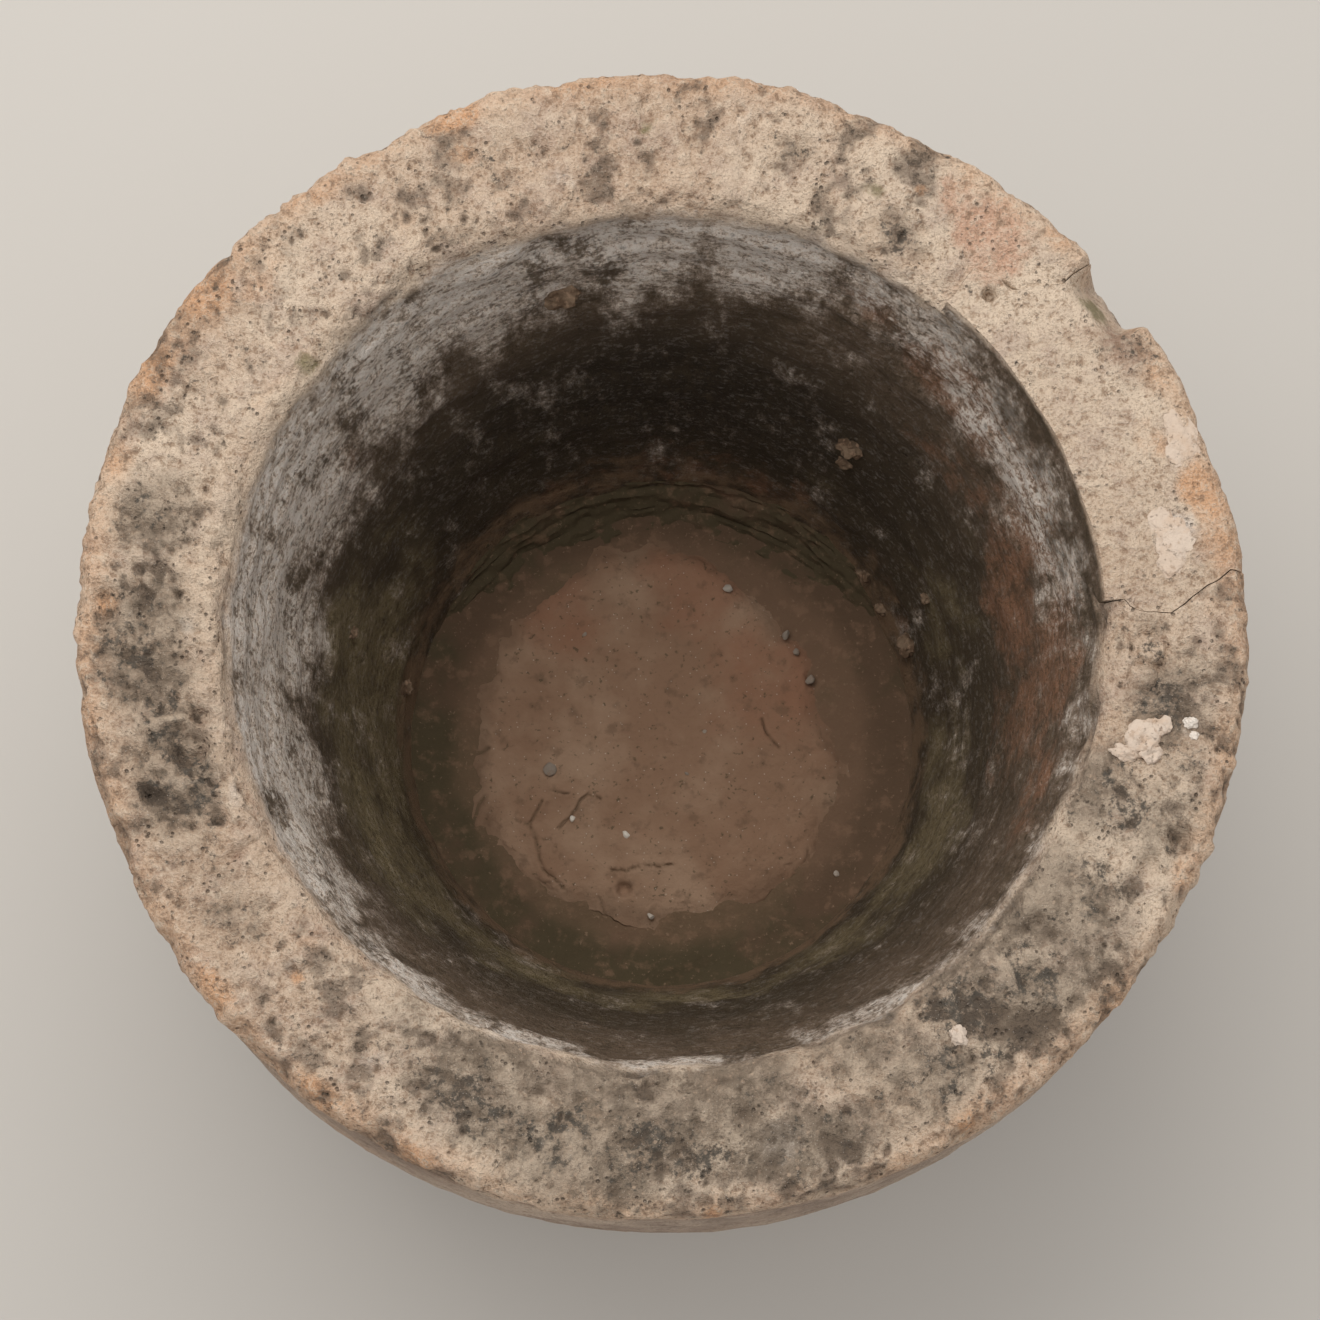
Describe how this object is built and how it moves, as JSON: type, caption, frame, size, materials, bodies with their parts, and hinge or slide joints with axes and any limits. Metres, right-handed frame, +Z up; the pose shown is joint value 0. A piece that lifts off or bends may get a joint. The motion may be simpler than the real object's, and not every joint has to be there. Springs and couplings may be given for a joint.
{
  "type": "stone planter",
  "caption": "Round hand-hewn stone planter with a thick rim, a tapering hollow, a mortar-mended stretch of rim and a bed of dried soil inside.",
  "frame": {"origin": "centre of the flat base, on the surface that the planter stands on", "axes": "+Z up along the axis of the side; +Y towards the far side of the rim as it is pictured; +X towards the mended stretch of rim"},
  "size_m": [0.57, 0.5698, 0.402],
  "materials": {
    "stone": "hewn and weathered, matt",
    "mortar": "trowelled, weathered, matt",
    "lime": "rough, matt",
    "soil": "damp earth, matt",
    "mud": "dried silt, matt",
    "chips": "broken, matt"
  },
  "bodies": {
    "root": {"stone_body": "stone", "rim_repair": "mortar", "mortar_splashes": "lime", "soil_bed": "soil", "soil_crust": "mud", "mud_collar": "mud", "stone_chips": "chips", "wall_crumbs": "soil"}
  },
  "joints": []
}
